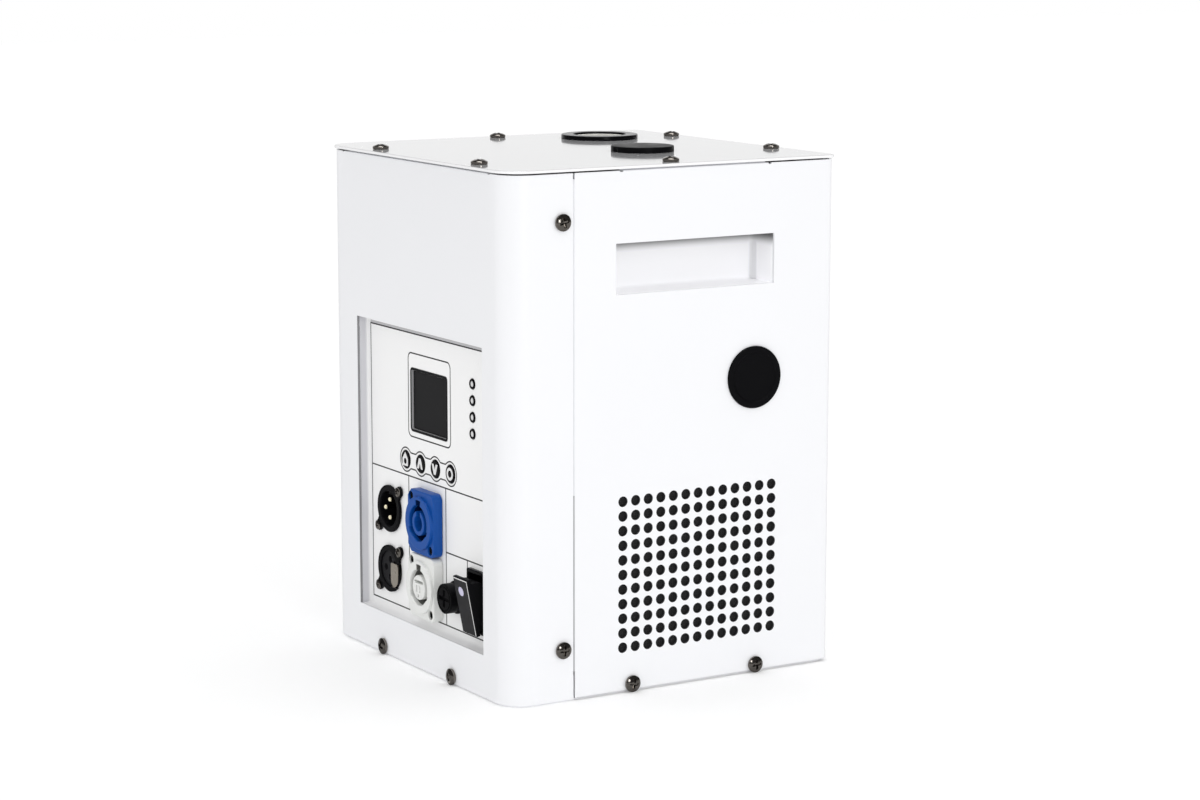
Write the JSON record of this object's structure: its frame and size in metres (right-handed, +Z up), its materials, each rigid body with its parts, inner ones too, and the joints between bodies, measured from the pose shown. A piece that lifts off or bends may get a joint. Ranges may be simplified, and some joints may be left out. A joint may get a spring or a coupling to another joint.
{
  "type": "cold spark machine",
  "caption": "White sheet-metal cold spark machine: recessed control panel, vented sides with finger recesses, nozzle ring and filler cap on top.",
  "frame": {"origin": "middle of the case's underside, on the surface that it stands on", "axes": "+Z up; the control panel faces -Y; +X to the right of someone facing the panel"},
  "size_m": [0.1854, 0.1868, 0.2516],
  "materials": {
    "white_paint": "white powder coat, satin",
    "white_gloss": "white paint, glossy",
    "zinc_steel": "plain zinc-plated steel",
    "bright_steel": "bright steel",
    "tube_steel": "pale fine-brushed stainless steel",
    "screw_steel": "dark nickel plate",
    "die_cast": "aluminium",
    "black_plastic": "black moulded plastic",
    "button_plastic": "black plastic with a pale symbol",
    "rocker_plastic": "black moulded plastic",
    "socket_metal": "black coated shell",
    "blue_plastic": "blue moulded plastic",
    "grey_plastic": "grey-white moulded plastic",
    "display": "smoked clear window",
    "circuit_board": "green solder mask",
    "black_mesh": "black woven filter mesh",
    "hopper_plastic": "natural moulded plastic"
  },
  "bodies": {
    "case": {"base_tray": "zinc_steel", "front_cover": "white_paint", "side_panel_right": "white_paint", "side_panel_left": "white_paint", "back_panel": "white_paint", "top_plate": "white_gloss", "recess_cup_right": "white_paint", "recess_cup_left": "white_paint", "side_plug_right": "black_plastic", "side_plug_left": "black_plastic", "mesh_filter_right": "black_mesh", "mesh_filter_left": "black_mesh", "control_panel": "white_paint", "display_window": "display", "control_board": "circuit_board", "socket_male": "socket_metal", "socket_female": "socket_metal", "power_inlet": "blue_plastic", "power_outlet": "grey_plastic", "fuse_holder": "black_plastic", "switch_housing": "black_plastic", "nozzle_ring": "black_plastic", "spark_tube": "tube_steel", "heating_core": "zinc_steel", "blower_housing": "die_cast", "hopper": "hopper_plastic", "feed_motor": "die_cast", "fan_frame": "black_plastic", "power_supply": "die_cast", "screw_top_front_left": "screw_steel", "screw_top_front_right": "screw_steel", "screw_top_mid_left": "screw_steel", "screw_top_mid_right": "screw_steel", "screw_top_back_left": "screw_steel", "screw_top_back_right": "screw_steel", "screw_front_left": "screw_steel", "screw_front_right": "screw_steel", "screw_back_left": "screw_steel", "screw_back_right": "screw_steel", "screw_wing_low_left": "screw_steel", "screw_wing_high_left": "screw_steel", "screw_side_front_left": "screw_steel", "screw_side_back_left": "screw_steel", "screw_wing_low_right": "screw_steel", "screw_wing_high_right": "screw_steel", "screw_side_front_right": "screw_steel", "screw_side_back_right": "screw_steel"},
    "menu_key": {"button_menu": "button_plastic"},
    "up_key": {"button_up": "button_plastic"},
    "down_key": {"button_down": "button_plastic"},
    "enter_key": {"button_enter": "button_plastic"},
    "latch": {"socket_latch": "bright_steel"},
    "rocker": {"switch_rocker": "rocker_plastic"},
    "fuse_top": {"fuse_cap": "black_plastic"},
    "filler": {"filler_cap": "black_plastic"},
    "blower": {"blower_wheel": "black_plastic"},
    "fan": {"fan_wheel": "black_plastic"},
    "auger": {"feed_auger": "bright_steel"}
  },
  "joints": [
    {"name": "menu_press", "type": "slide", "parent": "case", "child": "menu_key", "axis": [0, 1, 0], "range_m": [0, 0.001], "stiffness_N_per_m": 1200},
    {"name": "up_press", "type": "slide", "parent": "case", "child": "up_key", "axis": [0, 1, 0], "range_m": [0, 0.001], "stiffness_N_per_m": 1200},
    {"name": "down_press", "type": "slide", "parent": "case", "child": "down_key", "axis": [0, 1, 0], "range_m": [0, 0.001], "stiffness_N_per_m": 1200},
    {"name": "enter_press", "type": "slide", "parent": "case", "child": "enter_key", "axis": [0, 1, 0], "range_m": [0, 0.001], "stiffness_N_per_m": 1200},
    {"name": "latch_press", "type": "slide", "parent": "case", "child": "latch", "axis": [0, 1, 0], "range_m": [0, 0.001], "stiffness_N_per_m": 1200},
    {"name": "rocker_tilt", "type": "hinge", "parent": "case", "child": "rocker", "pos_m": [0.0513, -0.0855, 0.0431], "axis": [1, 0, 0], "range_deg": [-22, 0]},
    {"name": "fuse_turn", "type": "hinge", "parent": "case", "child": "fuse_top", "pos_m": [0.0298, -0.088, 0.041], "axis": [0, 1, 0], "range_deg": [-90, 0]},
    {"name": "filler_lift", "type": "slide", "parent": "case", "child": "filler", "axis": [0, 0, 1], "range_m": [0, 0.02]},
    {"name": "blower_spin", "type": "hinge", "parent": "case", "child": "blower", "pos_m": [-0.0515, 0.0446, 0.015], "axis": [0, 0, 1], "continuous": true},
    {"name": "fan_spin", "type": "hinge", "parent": "case", "child": "fan", "pos_m": [0.0744, 0.0128, 0.0569], "axis": [1, 0, 0], "continuous": true},
    {"name": "auger_turn", "type": "hinge", "parent": "case", "child": "auger", "pos_m": [0.0264, 0.0212, 0.13], "axis": [-0.9577, 0.2877, 0], "continuous": true}
  ]
}
